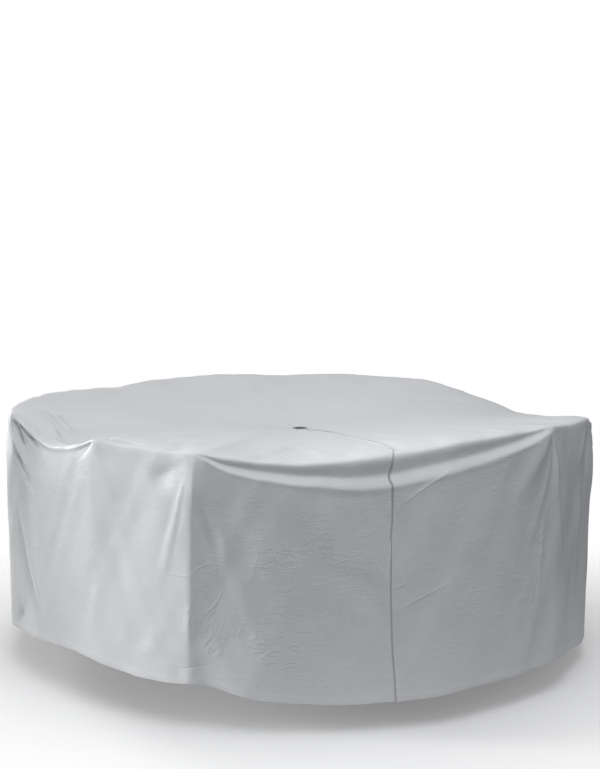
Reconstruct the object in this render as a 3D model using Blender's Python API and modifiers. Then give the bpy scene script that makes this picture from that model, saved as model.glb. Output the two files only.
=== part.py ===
"""A round fitted cover, held up from inside, with a centre hole and one closing line.

The cloth is one draped sheet: a shallow dish from the centre hole out to the rim, then a wall down to the
hem. Each point of it follows from two values: the angle round the hole, and the run, which is the length
of cloth from the rim, negative on the top and positive on the wall.

Metres and degrees, +Z up, and -Y is the front. The origin is the middle of the centre hole, at the
underside of the cloth.
"""

import math

import bpy
import numpy as np

# Driving dimensions
CLOTH_THICKNESS = 0.002
HOLE_RADIUS = 0.0300  # of the cloth's own edge, which the binding lines
FLAT_RADIUS = 0.050  # the cloth lies level round the hole out to here
CONE_POWER = 1.4  # how the top climbs from the hole to the rim: 1 is a straight cone
TOP_RISE = 0.085  # what it climbs all round; the rim's own rises and sags reach in from the rim
RIM_REACH = 2.2  # and fade with this power

CLOSING_ANGLE = 285.7  # where the closing line runs down the wall
STRIP_WIDTH = 0.005
STRIP_CROWN = 0.0005
SEWN_GAP = 0.0003  # between a sewn-on piece and the cloth

BINDING_RADIUS = 0.0022  # of the bead, whose outer side meets the cloth's edge
BINDING_STEPS = 48

# The sections, one row each time the outline changes. The held corners are the rows with a name.
SECTION_COLUMNS = (
    "angle", "rim_radius", "rim_height", "wall_radius", "hem_radius", "hem_height", "shoulder",
)
SECTIONS = (
    (10.0, 1.030, 0.018, 1.055, 1.065, -0.722, 0.014),
    (24.0, 1.034, -0.010, 1.050, 1.060, -0.718, 0.014),
    (38.0, 1.048, 0.017, 1.060, 1.068, -0.712, 0.014),
    (48.0, 1.056, 0.045, 1.070, 1.076, -0.706, 0.013),
    (58.0, 1.070, 0.077, 1.082, 1.086, -0.700, 0.010),  # back right corner
    (70.0, 1.056, 0.077, 1.066, 1.076, -0.692, 0.009),
    (82.0, 1.070, 0.086, 1.082, 1.086, -0.688, 0.010),  # back right inner corner
    (94.0, 1.052, 0.086, 1.066, 1.074, -0.694, 0.013),
    (106.0, 1.072, 0.095, 1.084, 1.088, -0.690, 0.010),  # back left inner corner
    (118.0, 1.056, 0.094, 1.066, 1.076, -0.684, 0.009),
    (130.0, 1.072, 0.089, 1.084, 1.088, -0.680, 0.010),  # back left corner
    (140.0, 1.054, 0.080, 1.070, 1.078, -0.690, 0.014),
    (150.0, 1.062, 0.090, 1.074, 1.082, -0.692, 0.013),
    (166.0, 1.088, 0.104, 1.098, 1.100, -0.684, 0.010),  # left back corner
    (180.0, 1.088, 0.104, 1.094, 1.100, -0.680, 0.009),
    (192.0, 1.096, 0.108, 1.106, 1.108, -0.682, 0.008),
    (198.6, 1.104, 0.113, 1.112, 1.113, -0.672, 0.007),  # left corner
    (203.0, 1.074, 0.076, 1.098, 1.099, -0.662, 0.008),
    (209.0, 1.054, 0.057, 1.078, 1.083, -0.650, 0.009),
    (216.0, 1.048, 0.049, 1.062, 1.072, -0.640, 0.009),
    (222.0, 1.050, 0.053, 1.060, 1.070, -0.634, 0.009),
    (226.5, 1.056, 0.070, 1.062, 1.071, -0.634, 0.008),
    (231.0, 1.070, 0.102, 1.074, 1.080, -0.636, 0.006),  # front left corner
    (236.0, 1.058, 0.093, 1.064, 1.080, -0.648, 0.006),
    (241.5, 1.055, 0.089, 1.064, 1.083, -0.654, 0.006),
    (247.0, 1.062, 0.086, 1.072, 1.088, -0.652, 0.006),
    (250.6, 1.076, 0.089, 1.094, 1.099, -0.648, 0.006),
    (252.3, 1.080, 0.090, 1.089, 1.092, -0.648, 0.006),  # front left inner corner
    (256.0, 1.046, 0.073, 1.070, 1.078, -0.660, 0.009),
    (262.0, 1.028, 0.067, 1.058, 1.064, -0.690, 0.010),
    (270.0, 1.020, 0.065, 1.050, 1.056, -0.702, 0.010),
    (280.0, 1.024, 0.072, 1.052, 1.060, -0.712, 0.010),
    (290.0, 1.030, 0.087, 1.058, 1.068, -0.712, 0.010),
    (300.0, 1.037, 0.100, 1.062, 1.070, -0.703, 0.010),
    (311.0, 1.048, 0.106, 1.064, 1.071, -0.704, 0.009),
    (320.6, 1.071, 0.116, 1.084, 1.083, -0.706, 0.006),
    (322.5, 1.077, 0.117, 1.094, 1.090, -0.708, 0.006),  # front right corner
    (331.0, 1.068, 0.097, 1.080, 1.082, -0.722, 0.008),
    (340.0, 1.092, 0.099, 1.104, 1.098, -0.742, 0.008),  # right corner
    (347.0, 1.078, 0.083, 1.100, 1.094, -0.745, 0.010),
    (357.0, 1.044, 0.047, 1.070, 1.074, -0.735, 0.014),
)
# How the closing line strays from its angle, in degrees, along the run.
CLOSING_COLUMNS = ("run", "stray")
CLOSING = (
    (-1.02, 5.0),
    (-0.60, 4.2),
    (-0.30, 3.0),
    (-0.12, 2.4),
    (-0.04, 1.4),
    (0.00, 0.5),
    (0.03, -0.1),
    (0.055, -0.3),
    (0.085, 0.4),
    (0.13, 0.1),
    (0.45, 0.1),
    (0.66, 0.6),
    (0.80, 1.1),
)
STRAY_SHARE = 0.035  # the share of the way round over which the cloth's own columns follow that
OUTLINE_SOFTNESS = 1.6  # degrees over which the sections' radii blend
HEIGHT_SOFTNESS = 1.0  # and their heights

# Swags: under the rim between two held corners the wall first tucks in, and then rolls out over a sagging
# crest. The crest falls by fall below the rim at the angle named lowest.
SWAG_COLUMNS = ("start", "end", "lowest", "fall", "tuck", "roll")
SWAGS = (
    (252.3, 322.5, 282.0, 0.070, 0.013, 0.006),  # front
    (199.5, 230.5, 217.0, 0.034, 0.004, 0.004),  # front left
    (341.0, 418.0, 382.0, 0.050, 0.008, 0.004),  # right and back right
    (83.0, 105.0, 94.0, 0.040, 0.007, 0.004),  # back
    (131.0, 165.0, 146.0, 0.046, 0.008, 0.004),  # back left
)
SWAG_FULL = 0.4  # the share of its fall from which a swag shapes the wall alone
STEP_RUN = 0.15  # the run over which the wall steps out where there is no swag
STEP_START, STEP_END = 0.45, 1.15  # the shares of a swag's fall between which it steps out
LEAST_STEP = 0.01
TUCK_PLACE = 0.42  # the share of the fall at which the tuck is deepest
TUCK_WIDTH = (0.004, 0.30)  # a tuck's half width: this much, and this share of the fall
ROLL_WIDTH = (0.010, 0.20)  # a roll's, in the same way
FLARE_POWER = 1.5  # how the wall leans out between the rim and the hem

# Folds: soft ridges (height above zero) and troughs, along a bowed line over the cloth.
FOLD_COLUMNS = ("start_angle", "start_run", "end_angle", "end_run", "bow", "half_width", "height")
FOLDS = (
    (251.6, -0.03, 250.8, 0.80, 0.002, 0.016, 0.0130),  # the long edge under the front left inner corner
    (250.4, 0.03, 245.2, 0.50, 0.000, 0.018, 0.0090),  # its second ridge
    (247.6, 0.03, 246.8, 0.17, 0.000, 0.030, -0.0150),  # the hollow between them
    (249.0, 0.16, 249.0, 0.60, 0.000, 0.016, -0.0060),
    (231.0, -0.01, 226.6, 0.16, 0.006, 0.017, 0.0090),  # the crease down from the front left corner
    (234.2, 0.03, 235.5, 0.45, 0.000, 0.040, -0.0050),
    (199.2, 0.01, 202.6, 0.27, 0.010, 0.020, -0.0130),  # fan of folds under the left corner
    (197.4, 0.02, 198.6, 0.36, 0.000, 0.022, 0.0080),
    (201.0, 0.01, 207.0, 0.20, 0.010, 0.020, 0.0080),
    (197.0, 0.34, 219.6, 0.74, 0.030, 0.028, -0.0140),  # the long slanting fold down to the hem
    (200.6, 0.34, 222.0, 0.74, 0.030, 0.026, 0.0120),
    (322.3, -0.01, 325.2, 0.52, -0.004, 0.017, 0.0110),  # folds under the front right corner
    (323.0, 0.02, 321.4, 0.34, 0.000, 0.018, -0.0090),
    (321.0, 0.30, 317.5, 0.80, 0.008, 0.026, 0.0090),
    (321.6, 0.03, 310.0, 0.30, 0.016, 0.034, 0.0080),
    (317.0, 0.06, 303.0, 0.36, 0.016, 0.040, -0.0070),
    (340.6, -0.01, 341.0, 0.66, 0.000, 0.024, 0.0100),  # under the right corner
    (337.2, 0.03, 334.0, 0.50, 0.000, 0.030, -0.0080),
    (58.0, -0.01, 56.0, 0.60, 0.010, 0.024, 0.0110),  # under the corners at the back
    (61.5, 0.04, 62.5, 0.50, 0.000, 0.030, -0.0070),
    (82.0, -0.01, 83.5, 0.55, 0.000, 0.024, 0.0100),
    (106.0, -0.01, 104.5, 0.66, 0.000, 0.024, 0.0110),
    (109.5, 0.05, 110.5, 0.50, 0.000, 0.032, -0.0070),
    (130.0, -0.01, 132.5, 0.60, 0.010, 0.024, 0.0110),
    (166.0, -0.01, 164.0, 0.64, 0.000, 0.024, 0.0110),
    (170.0, 0.04, 172.0, 0.45, 0.000, 0.034, -0.0070),
    (20.0, 0.10, 30.0, 0.72, 0.020, 0.045, 0.0090),
    (238.0, -0.03, 250.0, -0.035, 0.006, 0.020, -0.0080),  # hollows on the top, just behind the rim
    (204.0, -0.16, 226.0, -0.06, 0.020, 0.022, 0.0070),
    (201.0, -0.10, 213.0, -0.03, 0.010, 0.018, -0.0070),
    (262.0, -0.030, 268.0, 0.010, 0.000, 0.016, -0.0050),
)
FOLD_FADE = 0.22  # the share of a fold's length over which it fades at each end
MEAN_RADIUS = 1.06  # which gives a fold's length across

# Waves in the hem: number round the cover, height, and phase in degrees.
WAVES = ((7, 0.0050, 40.0), (13, 0.0040, 200.0), (22, 0.0024, 95.0))

# The grid: the widest step between columns, and the runs of the rows near the rim.
FRONT_START, FRONT_END = 194.0, 345.0
FRONT_STEP, BACK_STEP = 2.4, 6.5
TOP_SHARES = (0.0, 0.02, 0.14, 0.36, 0.60, 0.82)
RIM_RUNS = (-0.060, -0.024, -0.008, 0.006, 0.020, 0.034, 0.050, 0.066, 0.090, 0.130)
WALL_SHARES = (0.16, 0.34, 0.52, 0.70, 0.86, 1.0)


def table(columns, rows):
    """Each column of a table by its name."""
    return dict(zip(columns, np.array(rows, float).T))


def around(name, angle, softness):
    """One column of the sections at any angle: joined by straight lines, then averaged over an arc."""
    section = table(SECTION_COLUMNS, SECTIONS)
    offsets = np.linspace(-2.0, 2.0, 9)
    weights = np.exp(-0.5 * offsets**2)
    samples = [np.interp(angle + o * softness, section["angle"], section[name], period=360) for o in offsets]
    return np.tensordot(weights / weights.sum(), np.array(samples), 1)


def smooth(x):
    """0 up to x = 0 and 1 from x = 1, with no corner between."""
    x = np.clip(x, 0.0, 1.0)
    return x * x * (3.0 - 2.0 * x)


def one_sided(run, shoulder):
    """0 well before the rim and the run itself well after it, rounded over the shoulder."""
    return (run + np.sqrt(run**2 + 4.0 * shoulder**2)) / 2.0


def swag_at(angle):
    """The fall, tuck and roll of the swags at an angle, and the share of a full swag there."""
    total = {name: np.zeros_like(angle) for name in ("fall", "tuck", "roll", "share")}
    for row in SWAGS:
        swag = dict(zip(SWAG_COLUMNS, row))
        along = ((angle - swag["start"]) % 360.0) / (swag["end"] - swag["start"])
        lowest = (swag["lowest"] - swag["start"]) / (swag["end"] - swag["start"])
        power = math.log(0.5) / math.log(lowest)
        arch = np.where(along < 1.0, np.sin(math.pi * np.clip(along, 0.0, 1.0) ** power), 0.0)
        total["fall"] += swag["fall"] * arch
        total["tuck"] += swag["tuck"] * np.sqrt(arch)
        total["roll"] += swag["roll"] * np.sqrt(arch)
        total["share"] += smooth(arch / SWAG_FULL)
    return total


def fold_relief(angle, run, radius):
    """How far the folds stand out: each is a bell-shaped ridge or trough along a bowed line."""
    relief = np.zeros_like(run)
    for row in FOLDS:
        fold = dict(zip(FOLD_COLUMNS, row))
        turn = (angle - fold["start_angle"] + 180.0) % 360.0 - 180.0
        across = np.radians(turn) * radius
        length_across = math.radians(fold["end_angle"] - fold["start_angle"]) * MEAN_RADIUS
        length_down = fold["end_run"] - fold["start_run"]
        length = math.hypot(length_across, length_down)
        down = run - fold["start_run"]
        along = (across * length_across + down * length_down) / length**2
        side = (across * length_down - down * length_across) / length
        side -= fold["bow"] * np.sin(math.pi * np.clip(along, 0.0, 1.0))
        fade = smooth(along / FOLD_FADE) * smooth((1.0 - along) / FOLD_FADE)
        relief += fold["height"] * fade * np.exp(-((side / fold["half_width"]) ** 2))
    return relief


def draped(angle, run):
    """Points of the cloth's outer face. The top climbs from the hole to the rim, the shoulder turns it
    down, the wall steps out under the swags and runs on to the hem, and the folds stand out along the
    face's own direction."""
    rim_radius = around("rim_radius", angle, OUTLINE_SOFTNESS)
    rim_height = around("rim_height", angle, HEIGHT_SOFTNESS)
    wall_radius = around("wall_radius", angle, OUTLINE_SOFTNESS)
    hem_radius = around("hem_radius", angle, OUTLINE_SOFTNESS)
    shoulder = around("shoulder", angle, OUTLINE_SOFTNESS)
    drop = rim_height - around("hem_height", angle, HEIGHT_SOFTNESS)
    swag = swag_at(angle)

    inward = np.clip(-run, 0.0, None)
    climb = np.clip((rim_radius - inward - FLAT_RADIUS) / (rim_radius - FLAT_RADIUS), 0.0, 1.0)
    top = TOP_RISE * (1.0 - (1.0 - climb) ** CONE_POWER) + (rim_height - TOP_RISE) * climb**RIM_REACH

    step_start = STEP_START * swag["fall"]
    step_end = STEP_RUN + (STEP_END * swag["fall"] - STEP_RUN) * swag["share"]
    stepped = smooth((run - step_start) / np.maximum(step_end - step_start, LEAST_STEP))
    flared = np.clip(run / drop, 0.0, None) ** FLARE_POWER
    radius = rim_radius + (wall_radius - rim_radius) * stepped + (hem_radius - wall_radius) * flared

    tuck_width = TUCK_WIDTH[0] + TUCK_WIDTH[1] * swag["fall"]
    roll_width = ROLL_WIDTH[0] + ROLL_WIDTH[1] * swag["fall"]
    relief = fold_relief(angle, run, radius)
    relief -= swag["tuck"] * np.exp(-(((run - TUCK_PLACE * swag["fall"]) / tuck_width) ** 2))
    relief += swag["roll"] * np.exp(-(((run - swag["fall"]) / roll_width) ** 2))
    for count, height, phase in WAVES:
        relief += height * np.sin(np.radians(count * angle + phase)) * smooth(run / drop) ** 2

    past, before = one_sided(run, shoulder), one_sided(-run, shoulder)
    steep = (1.0 + run / np.sqrt(run**2 + 4.0 * shoulder**2)) / 2.0
    face = np.hypot(steep, 1.0 - steep)
    radius = radius - before + relief * steep / face
    height = CLOTH_THICKNESS + top - past + relief * (1.0 - steep) / face
    turn = np.radians(angle)
    return np.stack([radius * np.cos(turn), radius * np.sin(turn), height], axis=-1)


def row_runs(angle):
    """The run of each row, columns by rows: shares of the top, fixed runs by the rim, shares of the wall."""
    rim_radius = around("rim_radius", angle, OUTLINE_SOFTNESS)
    drop = around("rim_height", angle, HEIGHT_SOFTNESS) - around("hem_height", angle, HEIGHT_SOFTNESS)
    last = RIM_RUNS[-1]
    of_top = [1.0 - share for share in TOP_SHARES] + [0.0] * (len(RIM_RUNS) + len(WALL_SHARES))
    fixed = [0.0] * len(TOP_SHARES) + [*RIM_RUNS] + [last * (1.0 - share) for share in WALL_SHARES]
    of_drop = [0.0] * (len(TOP_SHARES) + len(RIM_RUNS)) + [*WALL_SHARES]
    return np.array(of_top) * (HOLE_RADIUS - rim_radius) + np.array(fixed) + np.array(of_drop) * drop


def column_angles():
    """The columns run once round from the closing line, on every section and close enough between."""
    stops = sorted({row[0] + 360.0 * (row[0] < CLOSING_ANGLE) for row in SECTIONS})
    stops = [CLOSING_ANGLE, *stops, CLOSING_ANGLE + 360.0]
    angles = []
    for start, end in zip(stops, stops[1:]):
        at_front = FRONT_START < start % 360.0 < FRONT_END
        count = math.ceil((end - start) / (FRONT_STEP if at_front else BACK_STEP))
        angles.extend(start + (end - start) * k / count for k in range(count))
    return np.array([*angles, CLOSING_ANGLE + 360.0])


def closing_stray(run):
    """How many degrees the closing line strays from its angle at a run."""
    closing = table(CLOSING_COLUMNS, CLOSING)
    return np.interp(run, closing["run"], closing["stray"])


def beside_closing(offset, radius):
    """The angle in degrees that lies offset to one side of the closing line, at a radius."""
    return np.degrees(np.arcsin(offset / radius))


def sheet_object(name, points, material, collection):
    """An open grid of points, columns by rows, that Solidify gives its thickness on the inner side."""
    columns, rows = points.shape[:2]
    index = np.arange(columns * rows).reshape(columns, rows)
    corners = (index[:-1, :-1], index[:-1, 1:], index[1:, 1:], index[1:, :-1])
    faces = np.stack([c.ravel() for c in corners], axis=1)
    mesh = bpy.data.meshes.new(name)
    mesh.from_pydata(points.reshape(-1, 3).tolist(), [], faces.tolist())
    mesh.shade_smooth()
    mesh.materials.append(material)
    sheet = bpy.data.objects.new(name, mesh)
    collection.objects.link(sheet)
    thickness = sheet.modifiers.new("Thickness", "SOLIDIFY")
    thickness.thickness = CLOTH_THICKNESS
    thickness.offset = -1.0
    return sheet


def plan_radius(angle, run):
    """How far from the hole's axis the cloth is."""
    points = draped(angle, run)
    return np.hypot(points[..., 0], points[..., 1])


def add_cloth(collection):
    """The cover: one sheet from the hole to the hem, open along the closing line."""
    row_count = len(TOP_SHARES) + len(RIM_RUNS) + len(WALL_SHARES)
    columns = np.repeat(column_angles()[:, None], row_count, axis=1)
    runs = row_runs(columns)
    aside = beside_closing(STRIP_WIDTH / 2.0 + SEWN_GAP, plan_radius(columns, runs))
    share = (columns - CLOSING_ANGLE) / 360.0
    near = np.exp(-(np.minimum(share, 1.0 - share) / STRAY_SHARE) ** 2)
    angles = columns + aside * (1.0 - 2.0 * share) + closing_stray(runs) * near
    cloth = fabric("Cover fabric", (0.56, 0.57, 0.58), 0.55)
    return sheet_object("cover_cloth", draped(angles, row_runs(angles)), cloth, collection)


def add_closing_strip(collection):
    """The narrow strip in the cloth's opening, from the hole to the hem, a little crowned."""
    row_count = len(TOP_SHARES) + len(RIM_RUNS) + len(WALL_SHARES)
    middle = np.full((3, row_count), CLOSING_ANGLE)
    runs = row_runs(middle)
    radius = plan_radius(middle, runs)
    radius[:, 0] = HOLE_RADIUS - 2.0 * BINDING_RADIUS
    sides = np.array([-1.0, 0.0, 1.0])[:, None]
    angles = middle + closing_stray(runs) + beside_closing(sides * STRIP_WIDTH / 2.0, radius)
    runs = row_runs(angles)
    runs[:, 0] -= 2.0 * BINDING_RADIUS
    points = draped(angles, runs)
    outward = np.cross(np.gradient(points[1], axis=0), points[2] - points[0])
    points[1] += STRIP_CROWN * outward / np.linalg.norm(outward, axis=1, keepdims=True)
    return sheet_object("closing_strip", points, fabric("Closing", (0.26, 0.27, 0.28), 0.6), collection)


def add_hole_binding(collection):
    """The bound edge: a bead round the hole, open where the closing strip runs through."""
    path_radius = HOLE_RADIUS - SEWN_GAP - BINDING_RADIUS
    gap = float(beside_closing(STRIP_WIDTH / 2.0 + SEWN_GAP, path_radius))
    start = CLOSING_ANGLE + float(closing_stray(row_runs(CLOSING_ANGLE)[0]))
    angles = np.radians(np.linspace(start + gap, start + 360.0 - gap, BINDING_STEPS + 1))
    curve = bpy.data.curves.new("hole_binding", "CURVE")
    curve.dimensions = "3D"
    curve.bevel_depth = BINDING_RADIUS
    curve.bevel_resolution = 2
    curve.use_fill_caps = True
    spline = curve.splines.new("POLY")
    spline.points.add(BINDING_STEPS)
    for point, angle in zip(spline.points, angles):
        place = (path_radius * math.cos(angle), path_radius * math.sin(angle), CLOTH_THICKNESS / 2.0)
        point.co = (*place, 1.0)
    curve.materials.append(fabric("Binding", (0.47, 0.48, 0.49), 0.6))
    binding = bpy.data.objects.new("hole_binding", curve)
    collection.objects.link(binding)
    return binding


def fabric(name, colour, roughness):
    """A plain coated-fabric material."""
    material = bpy.data.materials.new(name)
    material.use_nodes = True
    shader = material.node_tree.nodes["Principled BSDF"]
    shader.inputs["Base Color"].default_value = (*colour, 1.0)
    shader.inputs["Roughness"].default_value = roughness
    shader.inputs["Metallic"].default_value = 0.0
    return material


def main():
    for old in list(bpy.data.objects):
        bpy.data.objects.remove(old, do_unlink=True)
    collection = bpy.data.collections.new("Round furniture cover")
    bpy.context.scene.collection.children.link(collection)
    add_cloth(collection)
    add_closing_strip(collection)
    add_hole_binding(collection)


main()
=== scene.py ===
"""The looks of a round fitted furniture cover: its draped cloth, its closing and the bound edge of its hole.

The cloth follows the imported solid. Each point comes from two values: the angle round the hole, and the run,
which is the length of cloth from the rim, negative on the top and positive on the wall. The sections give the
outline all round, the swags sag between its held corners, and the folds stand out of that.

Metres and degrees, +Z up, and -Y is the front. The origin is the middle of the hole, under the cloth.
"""

import math

import bpy
import numpy as np
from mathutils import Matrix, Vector

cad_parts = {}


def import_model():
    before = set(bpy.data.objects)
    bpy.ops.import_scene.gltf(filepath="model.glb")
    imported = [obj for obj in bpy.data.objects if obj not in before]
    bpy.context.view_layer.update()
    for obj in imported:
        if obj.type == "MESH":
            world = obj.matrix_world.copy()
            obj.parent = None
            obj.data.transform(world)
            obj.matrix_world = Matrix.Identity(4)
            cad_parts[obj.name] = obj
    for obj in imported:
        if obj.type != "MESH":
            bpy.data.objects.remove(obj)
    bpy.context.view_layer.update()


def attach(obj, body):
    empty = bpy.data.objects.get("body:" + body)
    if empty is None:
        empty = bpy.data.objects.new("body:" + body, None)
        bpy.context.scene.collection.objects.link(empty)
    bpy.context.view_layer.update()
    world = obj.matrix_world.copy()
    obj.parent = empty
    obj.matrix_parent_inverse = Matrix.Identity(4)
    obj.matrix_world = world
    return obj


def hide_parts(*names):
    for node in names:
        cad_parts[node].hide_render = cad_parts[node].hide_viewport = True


# ---- Sizes -------------------------------------------------------------------------------------------------
CLOTH_THICKNESS = 0.002
HOLE_RADIUS = 0.0300
FLAT_RADIUS = 0.050  # the cloth lies level round the hole out to here
TOP_RISE = 0.085  # how far the top climbs from there to a rim of middling height
CONE_POWER = 1.4  # how fast that slope eases off towards the rim
RIM_REACH = 2.2  # the power with which the rim's own heights fade towards the hole
MEAN_RADIUS = 1.06  # turns angles into lengths round the rim

CLOSING_ANGLE = 285.7  # of the closing line, before its small strays
STRIP_WIDTH = 0.005
STRIP_CROWN = 0.0006
TOP_CROWN = 0.0022  # it stands higher on the top, where its fold is slack
CROWN_FADE = 0.03  # the run over which the one becomes the other
STRIP_SIDES = np.linspace(-1.0, 1.0, 7)
SEAM_HEIGHT, SEAM_WIDTH = 0.4, 0.25  # the seam along its middle, as shares of the crown and the half width
SEWN_GAP = 0.0003

BINDING_RADIUS = 0.0022
BEAD_STEPS, BEAD_SIDES = 521, 14
BEAD_END, BEAD_LEAST = 3.0, 0.02  # the steps over which an end is rounded, and the share that it starts with
THREAD_TURNS = 130  # the threads that run over the bound edge
THREAD_HEIGHT = 0.00014
SHARP_ANGLE = 55.0  # edges that turn by more than this stay sharp

FLOOR_HEIGHT = -0.809
FLOOR_RADIUS = 7.0
FLOOR_RINGS, FLOOR_SPOKES = np.linspace(0.001, 1.0, 24), np.linspace(0.0, 360.0, 97)
FLOOR_GLOW = 0.17  # light that the floor adds to its own shadow
FLOOR_FADE = (1.2, 2.2)  # the radii between which the floor passes into the backdrop

CAMERA_PLACE = (0.0, -4.985, 0.811)
CAMERA_TILT = 0.1277  # downward, in radians
CAMERA_LENS, CAMERA_SENSOR = 61.18, 36.0  # millimetres

# ---- The outline: one row each time it changes -------------------------------------------------------------
SECTION_COLUMNS = (
    "angle", "rim_radius", "rim_height", "wall_radius", "hem_radius", "hem_height", "shoulder",
)
SECTIONS = (
    (10.0, 1.030, 0.018, 1.055, 1.065, -0.722, 0.014),
    (24.0, 1.034, -0.006, 1.050, 1.060, -0.718, 0.014),
    (38.0, 1.048, 0.029, 1.060, 1.068, -0.712, 0.014),
    (48.0, 1.056, 0.057, 1.070, 1.076, -0.706, 0.013),
    (58.0, 1.070, 0.086, 1.082, 1.086, -0.700, 0.010),  # back right corner
    (70.0, 1.056, 0.088, 1.066, 1.076, -0.692, 0.009),
    (82.0, 1.070, 0.092, 1.082, 1.086, -0.688, 0.010),  # back right inner corner
    (94.0, 1.052, 0.086, 1.066, 1.074, -0.694, 0.013),
    (106.0, 1.072, 0.095, 1.084, 1.088, -0.690, 0.010),  # back left inner corner
    (118.0, 1.056, 0.094, 1.066, 1.076, -0.684, 0.009),
    (130.0, 1.072, 0.089, 1.084, 1.088, -0.680, 0.010),  # back left corner
    (140.0, 1.054, 0.080, 1.070, 1.078, -0.690, 0.014),
    (150.0, 1.062, 0.090, 1.074, 1.082, -0.692, 0.013),
    (166.0, 1.088, 0.104, 1.098, 1.100, -0.684, 0.010),  # left back corner
    (180.0, 1.088, 0.104, 1.094, 1.100, -0.680, 0.009),
    (192.0, 1.096, 0.108, 1.106, 1.108, -0.682, 0.008),
    (198.6, 1.104, 0.113, 1.112, 1.113, -0.672, 0.006),  # left corner
    (203.0, 1.076, 0.086, 1.098, 1.099, -0.662, 0.0050),
    (209.0, 1.054, 0.052, 1.070, 1.083, -0.650, 0.0050),
    (216.0, 1.048, 0.039, 1.057, 1.072, -0.640, 0.0050),
    (222.0, 1.050, 0.050, 1.057, 1.070, -0.634, 0.0050),
    (226.5, 1.056, 0.069, 1.062, 1.071, -0.634, 0.0050),
    (231.0, 1.070, 0.102, 1.074, 1.080, -0.636, 0.005),  # front left corner
    (236.0, 1.058, 0.093, 1.064, 1.080, -0.648, 0.005),
    (241.5, 1.055, 0.089, 1.064, 1.083, -0.654, 0.005),
    (247.0, 1.064, 0.086, 1.077, 1.090, -0.652, 0.005),
    (251.7, 1.075, 0.089, 1.088, 1.098, -0.648, 0.005),
    (253.2, 1.076, 0.089, 1.078, 1.087, -0.648, 0.005),  # front left inner corner
    (256.4, 1.052, 0.074, 1.065, 1.076, -0.660, 0.007),
    (262.0, 1.040, 0.066, 1.054, 1.064, -0.690, 0.008),
    (270.0, 1.032, 0.058, 1.047, 1.056, -0.702, 0.008),
    (280.0, 1.036, 0.070, 1.050, 1.060, -0.712, 0.010),
    (290.0, 1.042, 0.090, 1.056, 1.068, -0.712, 0.012),
    (300.0, 1.046, 0.109, 1.060, 1.070, -0.703, 0.011),
    (311.0, 1.052, 0.112, 1.064, 1.071, -0.704, 0.007),
    (320.8, 1.072, 0.112, 1.082, 1.083, -0.700, 0.004),
    (322.8, 1.080, 0.114, 1.092, 1.090, -0.698, 0.004),  # front right corner
    (331.0, 1.072, 0.101, 1.080, 1.082, -0.712, 0.006),
    (340.0, 1.102, 0.101, 1.106, 1.098, -0.738, 0.006),  # right corner
    (347.0, 1.078, 0.083, 1.100, 1.094, -0.745, 0.010),
    (357.0, 1.044, 0.047, 1.070, 1.074, -0.735, 0.014),
)
# The degrees over which the sections blend: few at the sharp corners of the front, many round the back.
SOFTNESS_COLUMNS = ("angle", "softness")
SOFTNESS = (
    (100.0, 3.4), (180.0, 2.6), (193.0, 1.6), (199.0, 1.1), (206.0, 1.8), (225.0, 1.6), (231.0, 1.0),
    (238.0, 1.8), (251.0, 0.7), (258.0, 1.8), (300.0, 2.2), (318.0, 1.4), (322.0, 0.6), (326.0, 1.0),
    (331.0, 1.8), (340.0, 1.2), (350.0, 2.4), (20.0, 3.4),
)
HEIGHT_SHARE = 0.65  # the heights blend over this share of that
BLEND_PLACES = np.linspace(-2.2, 2.2, 13)  # where round an angle they are averaged, in those degrees

# The closing line's strays to the right at each run, in degrees.
CLOSING_COLUMNS = ("run", "stray")
CLOSING = (
    (-1.02, 8.0), (-0.90, 10.0), (-0.80, 7.6), (-0.735, 6.2), (-0.59, 3.8), (-0.48, 3.1), (-0.375, 2.7),
    (-0.208, 2.9), (-0.142, 2.6), (-0.10, 2.1), (-0.053, 1.4), (-0.013, 0.8), (0.013, 0.55), (0.035, 0.45),
    (0.053, 0.2), (0.068, -0.1), (0.079, -0.2), (0.095, 0.1), (0.22, 0.1), (0.256, -0.1), (0.43, -0.1),
    (0.49, 0.0), (0.592, 0.2), (0.644, 0.4), (0.70, 0.7), (0.776, 0.95),
)
STRAY_SHARE = 0.035  # the share of the way round within which the cloth beside it strays too

# ---- Swags: between two held corners the wall tucks in under the rim, then rolls out over a sagging crest --
SWAG_COLUMNS = ("start", "end", "lowest", "fall", "tuck", "roll")
SWAGS = (
    (341.0, 418.0, 382.0, 0.050, 0.008, 0.004),  # right and back right
    (83.0, 105.0, 94.0, 0.040, 0.007, 0.004),  # back
    (131.0, 165.0, 146.0, 0.046, 0.008, 0.004),  # back left
)
# The front swag's crest falls by steps of its own.
SAG_COLUMNS = ("angle", "fall")
FRONT_SAG = (
    (252.6, 0.0), (254.0, 0.014), (257.0, 0.034), (261.0, 0.048), (263.4, 0.052), (266.7, 0.058),
    (273.3, 0.069), (277.0, 0.083), (280.5, 0.090), (283.6, 0.095), (287.8, 0.095), (290.2, 0.094),
    (293.8, 0.090), (297.4, 0.088), (301.2, 0.081), (305.7, 0.071), (309.1, 0.059), (312.9, 0.046),
    (317.0, 0.030), (320.0, 0.013), (321.8, 0.0),
)
FRONT_FALL, FRONT_TUCK, FRONT_ROLL = 0.095, 0.011, 0.0030
SAG_PLACES = np.linspace(-1.6, 1.6, 9)  # where round an angle those are averaged, in degrees
SWAG_FULL = 0.16  # the share of its sag from which a swag counts in full
STEP_RUN = 0.15  # the run over which the wall steps out where there is no swag
STEP_START, STEP_END = 0.66, 1.08  # shares of the fall between which the wall steps out under a swag
KNEE_POWER = 1.5  # and how late in that it does
LEAST_FALL = 0.015  # the fall that sets that step's length where the swag has less
TUCK_PLACE = 0.66  # the share of the fall at which the wall is tucked in most
TUCK_ABOVE, TUCK_BELOW = (0.003, 0.38), (0.0015, 0.16)  # its widths: a length, and a share of the fall
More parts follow.
